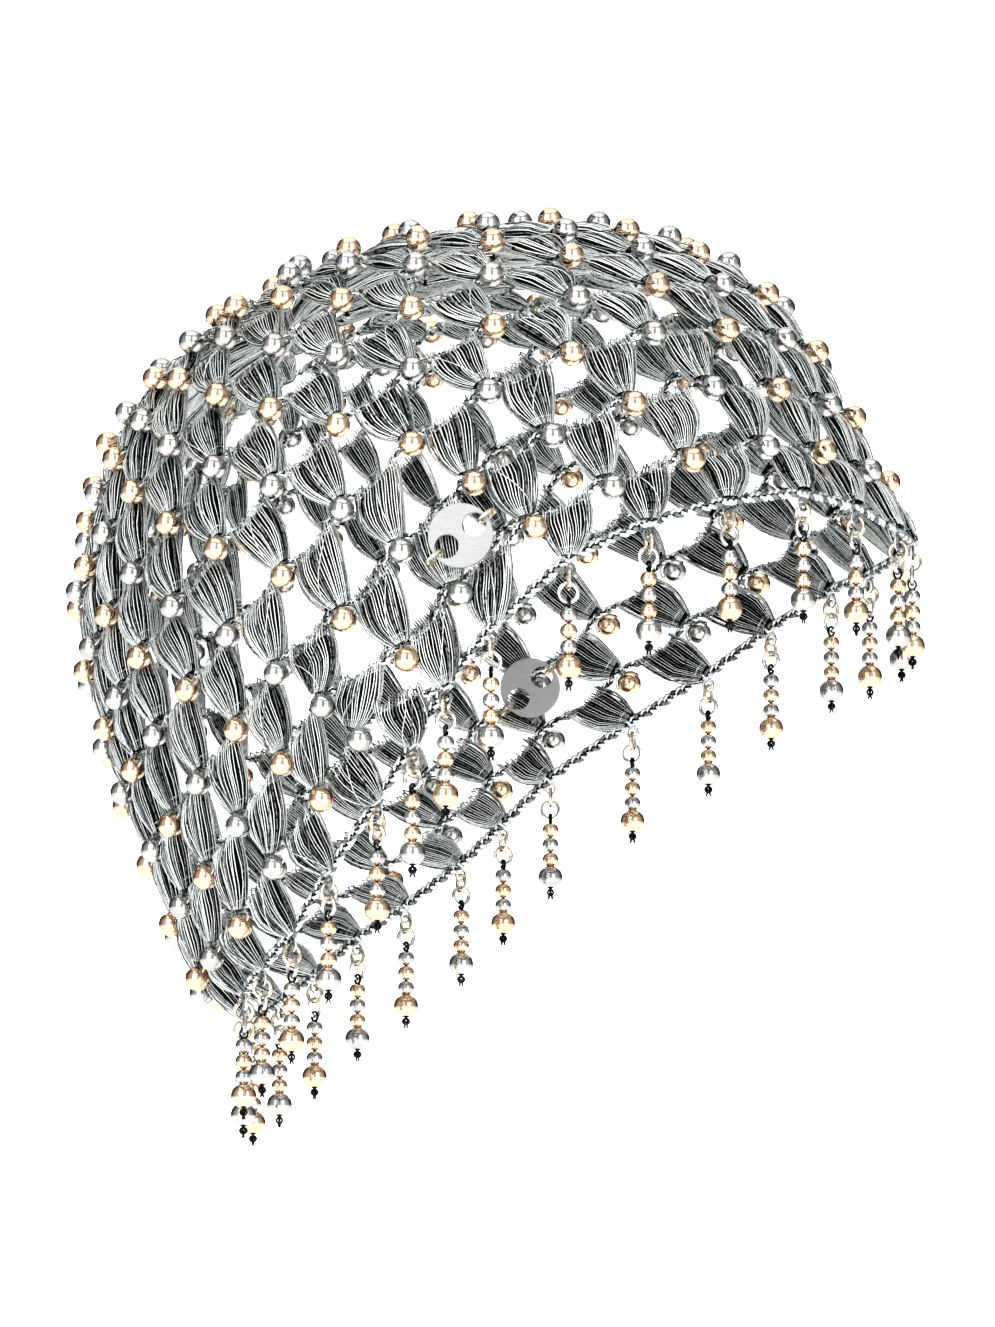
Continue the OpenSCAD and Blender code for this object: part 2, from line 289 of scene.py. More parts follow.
class Yarn:
    """Runs of yarn or thread, gathered as curves and made one mesh at the end."""

    def __init__(self, name, radius, sides=4):
        self.name, self.radius, self.sides, self.runs = name, radius, sides, []

    def add(self, points, closed=False, scale=1.0, kind=0):
        """One run through places in metres. Its kind is the number of its material."""
        self.runs.append((np.array(points, float), closed, scale, kind))

    def section(self):
        """Flat ring that the runs of yarn are swept with."""
        ring = bpy.data.curves.new(self.name + "_section", "CURVE")
        line = ring.splines.new("POLY")
        line.points.add(self.sides - 1)
        for i, point in enumerate(line.points):
            a = TAU * i / self.sides
            point.co = (self.radius * MM * math.cos(a), self.radius * MM * math.sin(a), 0, 1)
        line.use_cyclic_u = True
        o = bpy.data.objects.new(ring.name, ring)
        bpy.context.scene.collection.objects.link(o)
        return o

    def build(self, materials):
        curve = bpy.data.curves.new(self.name, "CURVE")
        curve.dimensions = "3D"
        section = self.section()
        curve.bevel_mode = "OBJECT"
        curve.bevel_object = section
        curve.use_fill_caps = True
        for m in materials:
            curve.materials.append(m)
        for points, closed, scale, kind in self.runs:
            s = curve.splines.new("POLY")
            s.points.add(len(points) - 1)
            s.points.foreach_set("co", np.column_stack([points, np.ones(len(points))]).ravel())
            thickness = np.broadcast_to(np.asarray(scale, float), len(points))
            s.points.foreach_set("radius", thickness.copy())
            s.use_cyclic_u = closed
            s.material_index = kind
            s.use_smooth = True
        piece = bpy.data.objects.new(self.name, curve)
        bpy.context.scene.collection.objects.link(piece)
        deselect()
        piece.select_set(True)
        bpy.context.view_layer.objects.active = piece
        bpy.ops.object.convert(target="MESH")
        piece = bpy.context.view_layer.objects.active
        bpy.data.objects.remove(section)
        face_outwards(piece)
        return piece


def deselect():
    for o in bpy.context.selected_objects:
        o.select_set(False)


def face_outwards(o):
    deselect()
    o.select_set(True)
    bpy.context.view_layer.objects.active = o
    bpy.ops.object.mode_set(mode="EDIT")
    bpy.ops.mesh.select_all(action="SELECT")
    bpy.ops.mesh.normals_make_consistent(inside=False)
    bpy.ops.object.mode_set(mode="OBJECT")


def pick(o, test):
    """Selects, in edit mode, the faces whose middle passes a test."""
    bpy.ops.mesh.select_all(action="DESELECT")
    bpy.ops.object.mode_set(mode="OBJECT")
    for face in o.data.polygons:
        face.select = test(face.center)
    bpy.ops.object.mode_set(mode="EDIT")


def join(name, parts):
    deselect()
    for o in parts:
        o.select_set(True)
    bpy.context.view_layer.objects.active = parts[0]
    if len(parts) > 1:
        bpy.ops.object.join()
    piece = bpy.context.view_layer.objects.active
    piece.name = piece.data.name = name
    return piece


def copy_of(master, materials):
    """A copy with its own mesh and its own materials."""
    o = bpy.data.objects.new(master.name, master.data.copy())
    bpy.context.scene.collection.objects.link(o)
    o.data.materials.clear()
    for m in materials:
        o.data.materials.append(m)
    return o


def set_out(name, master, places):
    """Copies of a modelled piece, each by its own matrix and materials, as one piece."""
    copies = []
    for matrix, materials in places:
        copies.append(copy_of(master, materials))
        copies[-1].data.transform(matrix)
    return join(name, copies)


def at(place, axis, across=None):
    """Matrix that puts a master at a place with its Z along an axis."""
    z = Vector(axis).normalized()
    x = Vector(across) if across is not None else z.orthogonal()
    x = (x - z * x.dot(z)).normalized()
    y = z.cross(x)
    return Matrix((*((x[k], y[k], z[k], place[k]) for k in range(3)), (0, 0, 0, 1)))


# Materials
class Value:
    """A socket that takes part in arithmetic."""

    def __init__(self, tree, socket):
        self.tree, self.socket = tree, socket

    def maths(self, operation, other):
        return self.tree.add("ShaderNodeMath", {"operation": operation}, {0: self, 1: other})

    def __add__(self, other):
        return self.maths("ADD", other)

    def __sub__(self, other):
        return self.maths("SUBTRACT", other)

    def __mul__(self, other):
        return self.maths("MULTIPLY", other)


class Nodes:
    """The nodes of a material or of the studio's light."""

    def __init__(self, owner):
        owner.use_nodes = True
        self.nodes, self.links = owner.node_tree.nodes, owner.node_tree.links

    def add(self, kind, settings=None, sockets=None, out=0):
        """A node with its settings, what goes into its sockets, and the output to use."""
        node = self.nodes.new(kind)
        for key, value in (settings or {}).items():
            if key == "stops":
                ramp = node.color_ramp
                while len(ramp.elements) < len(value):
                    ramp.elements.new(0.5)
                for element, (position, color) in zip(ramp.elements, value):
                    element.position = position
                    element.color = color
            else:
                setattr(node, key, value)
        for key, value in (sockets or {}).items():
            if isinstance(value, Value):
                self.links.new(value.socket, node.inputs[key])
            else:
                node.inputs[key].default_value = value
        return Value(self, node.outputs[out])


class Finish(Nodes):
    """A material, with the numbers that are the same all over it."""

    def __init__(self, name, **constants):
        self.material = bpy.data.materials.new(name)
        super().__init__(self.material)
        self.shader = self.nodes["Principled BSDF"]
        for socket, value in constants.items():
            self.shader.inputs[socket.replace("_", " ")].default_value = value

    def feed(self, socket, value):
        self.links.new(value.socket, self.shader.inputs[socket])

    def place(self):
        return self.add("ShaderNodeTexCoord", out="Object")

    def noise(self, scale, detail, roughness=0.5):
        return self.add("ShaderNodeTexNoise", {}, {"Vector": self.place(), "Scale": scale,
                                                   "Detail": detail, "Roughness": roughness})

    def ramp(self, value, stops):
        stops = [(position, (*color, 1)) for position, color in stops]
        return self.add("ShaderNodeValToRGB", {"stops": stops}, {0: value})

    def bump(self, height, distance, strength):
        self.feed("Normal", self.add("ShaderNodeBump", {}, {"Height": height, "Distance": distance,
                                                            "Strength": strength}))


# Scales of the noises, in waves a metre
SPECK, SHADE, FIBRE = 1000, 300, 2600
CLOUD, WEAR, RIPPLE = 160, 900, 420


def yarn_finish(name, light, dark, share, metal, rough):
    """Metallic yarn: bright foil with a share of dark specks."""
    f = Finish(name, Metallic=metal)
    speck = f.noise(SPECK, 1)
    mix = speck + (f.noise(SHADE, 1) - 0.5) * 0.3
    f.feed("Base Color", f.ramp(mix, [(share - 0.09, dark), (share + 0.07, light)]))
    f.feed("Roughness", f.ramp(speck, [(0.35, (rough + 0.18,) * 3), (0.65, (rough,) * 3)]))
    f.bump(f.noise(FIBRE, 1), 0.12 * MM, 0.4)
    return f.material


def bead_finish(name, color, deep, rough):
    """Polished plated metal, with a faint cloud and fine wear."""
    f = Finish(name, Metallic=1.0)
    cloud = f.noise(CLOUD, 2)
    f.feed("Base Color", f.ramp(cloud, [(0.3, deep), (0.62, color)]))
    wear = f.noise(WEAR, 2, 0.6)
    f.feed("Roughness", f.ramp(wear, [(0.45, (rough,) * 3), (0.8, (rough + 0.06,) * 3)]))
    f.bump(f.noise(RIPPLE, 1), 0.03 * MM, 0.12)
    return f.material


silver_yarn = yarn_finish("silver_yarn", (0.95, 0.975, 0.965), (0.34, 0.36, 0.36), 0.26, 0.6, 0.26)
mixed_yarn = yarn_finish("mixed_yarn", (0.34, 0.36, 0.355), (0.03, 0.032, 0.032), 0.4, 0.5, 0.34)
# Near-black yarn of the cores under puffs and plies: partly the black ply, partly painted shade in
# the gaps between strands
black_and_shade_yarn = yarn_finish("black_ply_and_painted_shade", (0.012, 0.013, 0.014), (0.003, 0.003, 0.004), 0.6, 0.0, 0.7)
YARNS, BLACK_AND_SHADE_CORE = [silver_yarn, mixed_yarn, black_and_shade_yarn], 2
gold_bead = bead_finish("pale_gold_bead", (0.93, 0.735, 0.57), (0.86, 0.65, 0.49), 0.13)
silver_bead = bead_finish("silver_bead", (0.67, 0.662, 0.65), (0.59, 0.58, 0.57), 0.13)
# Painted shade for the inside of the beads' bores
bore_painted_shade = bead_finish("bead_bore_shade", (0.16, 0.11, 0.08), (0.06, 0.045, 0.035), 0.45)
pale_gold_wire = bead_finish("pale_gold_wire", (0.86, 0.79, 0.66), (0.76, 0.68, 0.54), 0.22)
silver_wire = bead_finish("silver_wire", (0.84, 0.83, 0.8), (0.7, 0.69, 0.67), 0.22)
black_thread = yarn_finish("black_thread", (0.13, 0.12, 0.12), (0.01, 0.01, 0.01), 0.62, 0.1, 0.5)
# A bead's own material and that of its bore, whose dark colour is painted shade in the hole
GOLD, SILVER = (gold_bead, bore_painted_shade), (silver_bead, bore_painted_shade)


def disc_finish():
    """Finely brushed steel, grained along one way."""
    f = Finish("brushed_disc", Metallic=0.4)
    mapped = f.add("ShaderNodeMapping", {}, {"Vector": f.place(), "Rotation": (0, 0.3, 0),
                                             "Scale": (300, 300, 9000)})
    grain = f.add("ShaderNodeTexNoise", {}, {"Vector": mapped, "Scale": 1.0,
                                             "Detail": 3, "Roughness": 0.6})
    f.feed("Base Color", f.ramp(grain, [(0.35, (0.43, 0.43, 0.435)), (0.65, (0.5, 0.5, 0.505))]))
    f.feed("Roughness", f.ramp(grain, [(0.3, (0.5,) * 3), (0.7, (0.4,) * 3)]))
    f.bump(grain, 0.02 * MM, 0.4)
    return f.material


brushed_disc = disc_finish()

# Masters: a drilled bead, a jump ring and the bulk of a puff. Sizes are in mm, and the ring's
# is to the middle of its wire.
BEAD_R, BEAD_SQUASH = 3.1, 0.97
SMALL_BEAD_R, SMALL_BEAD_SQUASH = 2.04, 0.93
RING_D, WIRE_D = 4.4, 1.0
# Where a bead's ends are cut off, as a share of its half length, the depth of its bores, and
# the share of its radius inside which a face belongs to a bore
BORE_AT, BORE_DEPTH, BORE_SHARE = 0.955, 0.6, 0.26


def drilled_bead(name, radius, squash, segments, rings):
    """A ball with a bore sunk into each end. Its second material is the bore's, dark as painted
    shade inside the hole.
    """
    deselect()
    bpy.ops.mesh.primitive_uv_sphere_add(segments=segments, ring_count=rings, radius=radius * MM)
    bead = bpy.context.object
    bead.name = name
    bead.data.materials.append(None)
    bead.data.materials.append(None)
    bpy.ops.object.mode_set(mode="EDIT")
    bpy.ops.mesh.select_all(action="SELECT")
    bpy.ops.transform.resize(value=(1, 1, squash))
    end = BORE_AT * radius * squash * MM
    for way in (1, -1):
        bpy.ops.mesh.select_all(action="SELECT")
        bpy.ops.mesh.bisect(plane_co=(0, 0, way * end), plane_no=(0, 0, way),
                            clear_outer=True, use_fill=True)
        pick(bead, lambda c: c.z * way > end * 0.999)
        inwards = (0, 0, -way * BORE_DEPTH * MM)
        bpy.ops.mesh.extrude_region_move(TRANSFORM_OT_translate={"value": inwards})
    bpy.ops.object.mode_set(mode="OBJECT")
    face_outwards(bead)
    # Faces inside the bores take the second material, painted shade
    for face in bead.data.polygons:
        c = face.center
        if math.hypot(c.x, c.y) < BORE_SHARE * radius * MM and abs(c.z) < end * 0.99:
            face.material_index = 1
    bpy.ops.object.shade_smooth_by_angle(angle=0.8)
    return bead


def wire_ring(name, radius, wire, steps, sides, gap):
    """A round wire bent to a ring, its two ends nearly closed."""
    deselect()
    bpy.ops.mesh.primitive_circle_add(vertices=sides, radius=wire * MM, fill_type="NGON",
                                      location=(radius * MM, 0, 0), rotation=(math.pi / 2, 0, 0))
    ring = bpy.context.object
    ring.name = name
    bpy.ops.object.transform_apply(location=True, rotation=True)
    ring.data.materials.append(None)
    bpy.ops.object.mode_set(mode="EDIT")
    bpy.ops.mesh.select_all(action="SELECT")
    bpy.ops.mesh.spin(steps=steps, angle=TAU - gap, center=(0, 0, 0), axis=(0, 0, 1))
    bpy.ops.mesh.select_all(action="SELECT")
    bpy.ops.mesh.remove_doubles(threshold=1e-6)
    bpy.ops.object.mode_set(mode="OBJECT")
    face_outwards(ring)
    bpy.ops.object.shade_smooth_by_angle(angle=0.9)
    return ring


# Shares of a puff's length at which its core has a ring of edges
CORE_STEPS = [-0.02, 0.15, 0.38, 0.66, 0.95]


def core_bar():
    """An eight-sided bar with a ring of edges at each step, to be shaped to a puff."""
    deselect()
    steps = len(CORE_STEPS) - 1
    bpy.ops.mesh.primitive_cylinder_add(vertices=8, depth=steps, location=(0, 0, steps / 2),
                                        rotation=(0, 0, math.pi / 8))
    bar = bpy.context.object
    bar.name = "core_bar"
    bpy.ops.object.transform_apply(location=True, rotation=True)
    bpy.ops.object.mode_set(mode="EDIT")
    for z in range(1, steps):
        bpy.ops.mesh.select_all(action="SELECT")
        bpy.ops.mesh.bisect(plane_co=(0, 0, z), plane_no=(0, 0, 1))
    bpy.ops.object.mode_set(mode="OBJECT")
    bpy.ops.object.shade_smooth()
    return bar


mesh_bead = drilled_bead("mesh_bead", BEAD_R, BEAD_SQUASH, 12, 7)
large_bead = drilled_bead("large_bead", BEAD_R, BEAD_SQUASH, 16, 9)
small_bead = drilled_bead("small_bead", SMALL_BEAD_R, SMALL_BEAD_SQUASH, 12, 7)
jump_ring = wire_ring("jump_ring", RING_D / 2, WIRE_D / 2, 22, 6, 0.12)
core = core_bar()


def around(steps):
    """Angles at even steps round a circle."""
    return np.linspace(0, TAU, steps, endpoint=False)


def plies(yarn, points, normal_of, amplitude=0.72, flat=0.42, pitch=4.8, spacing=0.95, seed=0.0):
    """Three plies that cross over each other along a line of places in mm, on a near-black core:
    partly black ply, partly painted shade between the plies.
    """
    points = np.array(points)
    run = np.concatenate([[0], np.cumsum(np.linalg.norm(np.diff(points, axis=0), axis=1))])
    s = np.linspace(0, run[-1], max(4, int(run[-1] / spacing)) + 1)
    centre = np.stack([np.interp(s, run, points[:, k]) for k in range(3)], -1)
    for _ in range(3):
        smooth = centre.copy()
        smooth[1:-1] = (centre[:-2] + 2 * centre[1:-1] + centre[2:]) / 4
        centre = smooth
    tangent = np.gradient(centre, axis=0)
    tangent /= np.linalg.norm(tangent, axis=1, keepdims=True)
    normal = np.array([normal_of(c) for c in centre])
    side = np.cross(normal, tangent)
    side /= np.linalg.norm(side, axis=1, keepdims=True)
    normal = np.cross(tangent, side)
    for ply in range(3):
        phase = TAU * (s / pitch + ply / 3) + seed
        path = centre + side * (amplitude * np.sin(phase))[:, None]
        path = path + normal * (flat * np.sin(2 * phase))[:, None]
        yarn.add([world(p) for p in path], kind=0 if ply < 2 else 1)
    # Near-black core under the plies: partly black ply, partly painted shade in the gaps
    inside = np.concatenate([centre[:-1:2], centre[-1:]])
    yarn.add([world(p) for p in inside], scale=1.1, kind=BLACK_AND_SHADE_CORE)


CAP_MIDDLE, CAP_HALF = np.array([0, 0, 5]), np.array([96, 80, 96])


def cap_normal(p):
    """Rough outward direction from the middle of the cap."""
    v = (p - CAP_MIDDLE) / CAP_HALF
    v[2] = max(v[2], 0.02)
    return unit(v)


def keep(piece, node):
    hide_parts(node)
    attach(piece, "root")


# Puffs. A puff with at least this half-width has the full number of strands.
FULL_STRANDS, LEAST_STRANDS, FULL_HALF = 17, 11, 5.6
# A loop's path: down the outer face, over the chain and up the inner face. Steps are shares
# of the puff's length, and over the chain shares of the loop's reach with a height.
OUT_STEPS = [0.985, 0.82, 0.62, 0.42, 0.22, 0.04]
OVER_STEPS = [(-0.62, 1.15), (-1, 0.1), (-0.6, -1.1)]
IN_STEPS = [0.1, 0.45, 0.92]
# Thickness of a strand along its path, thinner where all are drawn together
THINNING = [0.7, 0.8, 0.95, 1, 1, 1, 1, 1, 1, 1, 1, 0.75]
SILVER_SHARE = 0.78
# The other strands: heights and steps of those at the sides, steps of the loose ones, and the
# wraps' distances from the knot in mm
SIDE_HEIGHTS = [0.45, -0.25, -0.9]
SIDE_STEPS = [0.98, 0.8, 0.6, 0.4, 0.2, 0, -0.1]
LOOSE_STEPS = [0, 0.2, 0.4, 0.6, 0.8, 1]
WRAPS_AT = [2.3, 1.2]


def loops(p, yarn):
    """Loops of yarn from the neck over the chain and back."""
    strands = max(LEAST_STRANDS, round(FULL_STRANDS * min(1, p.half / FULL_HALF)))
    p.lean = chance.uniform(-0.9, 0.9) * p.size
    swing, swing_phase = chance.uniform(0.02, 0.1), chance.uniform(0, TAU)
    for i in range(strands):
        x = even_across((i + 0.5) / strands) + chance.uniform(-0.012, 0.012)
        sway, phase = chance.uniform(0.1, 0.5) / strands, chance.uniform(0, TAU)
        turns = chance.uniform(0.5, 1.3)
        lift = chance.uniform(-0.2, 0.35) * p.size
        reach = (2.0 + chance.uniform(-0.6, 1.4)) / p.length
        corner = 1.3 * x * x * p.size / p.length
        path = []
        for t in OUT_STEPS:
            t -= corner * max(0, 1 - 2 * t)
            swayed = x + sway * math.sin(phase + TAU * turns * t)
            swayed = swayed + swing * math.sin(swing_phase + 5 * t) * (1 - x * x)
            q = puff_section(p, t, swayed, 1)
            path.append(q + p.normal(max(t, 0)) * lift * math.sin(math.pi * min(max(t, 0), 1)))
        for share, h in OVER_STEPS:
            t = share * reach - corner
            h = h * max(p.size, 0.8) - 0.3 * x * x
            path.append(p.place(t, x * half_width(p, t), h))
        for t in IN_STEPS:
            path.append(puff_section(p, t, x + sway * math.cos(phase + 6 * t), -1))
        thick = chance.uniform(0.9, 1.12)
        yarn.add([world(q) for q in path], scale=[thick * k for k in THINNING],
                 kind=0 if chance.random() < SILVER_SHARE else 1)


def side_strands(p, yarn):
    """Strands down the two sides of a bundle."""
    for s in (-1, 1):
        for h in SIDE_HEIGHTS:
            x, phase = s * chance.uniform(0.97, 1.03), chance.uniform(0, TAU)
            path = []
            for t in SIDE_STEPS:
                wave = 0.15 * math.sin(phase + 7 * t)
                path.append(p.place(t, x * half_width(p, t), h * max(p.size, LEAST_SIZE) + wave))
            yarn.add([world(q) for q in path], kind=0 if h < 0 else 1)


def loose_strands(p, yarn):
    """Two strands that stand off the outer face and cross it."""
    for i in range(2):
        a, b = chance.uniform(-0.85, 0.85), chance.uniform(-0.85, 0.85)
        path = []
        for s in LOOSE_STEPS:
            t, off = 0.02 + 0.9 * s, 0.4 + 0.3 * math.sin(math.pi * s)
            path.append(puff_section(p, t, a + (b - a) * s, 1) + p.normal(t) * off)
        yarn.add([world(q) for q in path], scale=0.9, kind=i)


def neck_wraps(p, yarn):
    """Two turns of yarn that gather a bundle above its knot."""
    for k, above in enumerate(WRAPS_AT):
        c, side, rise = p.axes(1 - above / p.length)
        r = max((0.475 - 0.057 * k) * p.half, 1.6)
        path = [c + side * r * math.cos(a) + rise * 1.9 * math.sin(a)
                + p.along * 0.35 * math.sin(a + k) for a in around(8)]
        yarn.add([world(q) for q in path], closed=True, scale=0.95, kind=k)


# A core's width as a share of its bundle's, how much it is thinned towards its other face,
# and its depth in mm under the strands
CORE_WIDTH, CORE_THINNED, CORE_DEPTH = 0.9, 0.08, 0.4


def puff_core(p):
    """Near-black inner bulk of a bundle, just under its strands: partly black ply, partly painted
    shade in the gaps between strands.
    """
    o = copy_of(core, YARNS)
    for v in o.data.vertices:
        t, x, side = CORE_STEPS[round(v.co.z)], CORE_WIDTH * v.co.x, 1 if v.co.y > 0 else -1
        q, middle = puff_section(p, t, x, side), p.axes(t)[0]
        thinned = (puff_section(p, t, x, -side) - q) * CORE_THINNED
        v.co = world(q + thinned + unit(middle - q) * CORE_DEPTH)
    # The core takes the near-black yarn, which is partly painted shade
    o.data.polygons.foreach_set("material_index", [BLACK_AND_SHADE_CORE] * len(o.data.polygons))
    return o


def knots_of_round(k):
    """The knots of one turn of the spiral."""
    first = FIRST_KNOT if k == 1 else TURN * k
    return list(range(first, TURN * (k + 1), knot_step(first)))


for k in range(1, 12):
    yarn = Yarn("strands_%02d" % k, STRAND_R, sides=3)
    puffs = [Puff(m) for m in knots_of_round(k)]
    for p in puffs:
        for strands in (loops, side_strands, loose_strands, neck_wraps):
            strands(p, yarn)
    cores = join("cores_%02d" % k, [puff_core(p) for p in puffs])
    face_outwards(cores)
    keep(join("puff_round_%02d" % k, [yarn.build(YARNS), cores]), "puffs_%02d" % k)


# Beaded chain. Sizes of its knots and threads are in mm.
def bead_round(k):
    """A turn of the plait, with a bead at each knot on its own loop of yarn."""
    knots = knots_of_round(k)
    step = knot_step(knots[0])
    yarn = Yarn("chain_%02d" % k, CHAIN_R)
    line = [q for m in knots for q in chain_line(m)]
    line.append(knot(knots[-1] + step))
    plies(yarn, line, cap_normal, seed=k)
    places, threads = [], Yarn("threads_%02d" % k, THREAD_R)
    for m in knots:
        b, top = bead_place(m), knot(m)
        axis = unit(b - top)
        n = outward(level_of(m), angle_of(m))
        side = unit(np.cross(axis, n))
        gold = (m // 2) % 2 == 0 if m < FULL_KNOT else m % 2 == 0
        tilt = chance.uniform(-0.5, 0.5)
        bore = unit(unit(knot(m + step) - top) + axis * tilt - n * 0.35)
        places.append((at(world(b), turned(bore)), GOLD if gold else SILVER))
        for s in (-1, 1):
            into_bore = [top + side * s * 1.3, b - axis * 2.2 + bore * s * 2.6,
                         b - axis * 0.7 + bore * s * 3.3, b + bore * s * 2.4]
            threads.add([world(q) for q in into_bore], kind=0 if s > 0 else 1)
            to_bead = [top + n * s * 1.2, top + axis * 1.4 + n * s * 0.9, b - axis * 2.6]
            threads.add([world(q) for q in to_bead], kind=1)
        over_knot = [top + n * 1.2 + side * 0.9, top + n * 1.5 - axis * 0.9,
                     top + n * 1.2 - side * 1.1, top - n * 0.6 + axis * 0.5]
        threads.add([world(q) for q in over_knot], closed=True, kind=1, scale=1.2)
    beads = set_out("beads_of_%02d" % k, mesh_bead, places)
    return join("beaded_chain_%02d" % k, [yarn.build(YARNS), threads.build(YARNS), beads])


for k in range(1, 11):
    keep(bead_round(k), "beads_%02d" % k)

# Ring of yarn in the crown
yarn = Yarn("crown_plait", CROWN_R)
circle = [skin(TOP_LEVEL, a) for a in np.linspace(0, 360, 41)]
plies(yarn, circle, lambda p: np.array([0, 0, 1.0]),
      amplitude=0.7, flat=0.45, pitch=4.0, spacing=0.7)
keep(join("crown_yarn_ring", [yarn.build(YARNS)]), "crown_ring")

# Rim: the plaited cord and, under each foot, a loop of yarn for the drop's first ring.
# Heights are in mm under the foot's knot.
FEET = range(RIM_KNOT, LAST_KNOT + 1)
FOOT_Z, FOOT_D, FOOT_CORD = 2.9, 2.7, 1.2
LINK_GAP = 0.2
HOOK_Z = FOOT_Z + (FOOT_D - FOOT_CORD + RING_D - WIRE_D) / 2 - LINK_GAP
EYE_Z = HOOK_Z + RING_D - WIRE_D - LINK_GAP
LOOP_Z = EYE_Z + RING_D / 2
SMALL_Z, SMALL_PITCH = LOOP_Z + 2.9, 3.8
LARGE_Z = SMALL_Z + 2 * SMALL_PITCH + 4.6
THREAD_END, THREAD_KNOT = LARGE_Z + 3.4, LARGE_Z + 3.9
DOWN = Vector((0, 0, -1))


def rim_run(m):
    """Level direction of the rim at a foot."""
    d = world(knot(m + 0.5)) - world(knot(m - 0.5))
    return Vector((d[0], d[1], 0)).normalized()


def foot(m):
    return Vector(world(knot(m)))


yarn = Yarn("rim_plies", RIM_R)
line = [knot(m) for m in FEET] + [knot(RIM_KNOT)]
plies(yarn, line, cap_normal, amplitude=0.95, flat=0.5, pitch=5.4, spacing=0.85)
for m in FEET:
    top, x = foot(m), rim_run(m)
    c, n = top + DOWN * FOOT_Z * MM, x.cross(DOWN)
    for s in (-1, 1):
        loop = [c + x * math.cos(a) * 1.35 * MM + DOWN * math.sin(a) * 1.5 * MM + n * 0.25 * s * MM
                for a in around(10)]
        yarn.add(loop, closed=True, scale=0.66, kind=0 if s > 0 else 1)
    for s in (-1, 1):
        yarn.add([top + x * s * 1.5 * MM + n * 0.8 * MM, top + DOWN * 1.2 * MM + n * s * 1.2 * MM,
                  top - x * s * 1.5 * MM - n * 0.6 * MM], scale=0.8)
keep(join("rim_plait", [yarn.build(YARNS)]), "rim_chain")


def ring_set(name, node, material, places):
    """Copies of the jump ring as one piece."""
    keep(set_out(name, jump_ring, [(place, (material,)) for place in places]), node)


ring_set("drop_hook_rings", "hook_rings", pale_gold_wire,
         [at(foot(m) + DOWN * HOOK_Z * MM, rim_run(m), (0, 0, 1)) for m in FEET])
ring_set("drop_eye_rings", "eye_rings", silver_wire,
         [at(foot(m) + DOWN * EYE_Z * MM, rim_run(m).cross(DOWN), (0, 0, 1)) for m in FEET])

# Drops: a loop of thread in the eye ring, three small beads, a large one and its knot
for i, m in enumerate(FEET):
    c, x = foot(m), rim_run(m)
    n = x.cross(DOWN)
    large, other = (GOLD, SILVER) if i % 2 == 0 else (SILVER, GOLD)
    places = [(at(c + DOWN * (SMALL_Z + b * SMALL_PITCH) * MM, -DOWN), finish)
              for b, finish in enumerate((other, large, other))]
    beads = set_out("small_beads", small_bead, places)
    end_bead = set_out("end_bead", large_bead, [(at(c + DOWN * LARGE_Z * MM, -DOWN), large)])
    thread = Yarn("thread_%02d" % i, THREAD_R)
    loop_c = c + DOWN * LOOP_Z * MM
    for s in (-1, 1):
        thread.add([loop_c + n * math.cos(a) * 1.0 * MM + DOWN * math.sin(a) * 1.2 * MM
                    + x * s * 0.2 * MM for a in around(9)], closed=True, scale=0.75)
    thread.add([loop_c + DOWN * 1.0 * MM, c + DOWN * THREAD_END * MM], scale=1.3)
    end = c + DOWN * THREAD_KNOT * MM
    for k in range(3):
        u = n * math.cos(k * 1.05) + x * math.sin(k * 1.05)
        thread.add([end + (u * math.cos(a) * 0.85 + DOWN * math.sin(a) * 0.7) * MM
                    for a in around(8)], closed=True, scale=0.9)
    for s in (-1, 1):
        thread.add([end, c + DOWN * (THREAD_KNOT + 0.9) * MM + x * s * 0.35 * MM,
                    c + DOWN * (THREAD_KNOT + 1.7) * MM + x * s * 0.5 * MM + n * s * 0.2 * MM],
                   scale=[1.0, 0.9, 0.7])
    string = join("drop_string_%02d" % (i + 1), [beads, end_bead, thread.build([black_thread])])
    keep(string, "drop_%02d" % (i + 1))


# Discs. Sizes are in mm.
DISC_R, DISC_THICK, DISC_EDGE = 7.7, 1.0, 0.16
HOLE_R, HOLE_AT = 2.8, 4.1
# How far the rings of a disc lie on its side that faces the wall
RING_BEHIND = 0.7


def surface_axes(level, column, out):
    """Ways along, across and out at a place on the wall, and the place out mm from it."""
    u = angle_at(level, column)
    n = outward(level, u)
    x = unit(skin(level, u - 1) - skin(level, u + 1))
    along = turned(unit(x - (x @ n) * n))
    rise = turned(n)
    side = np.cross(rise, along)
    return along, side, rise, world(skin(level, u) + out * n)


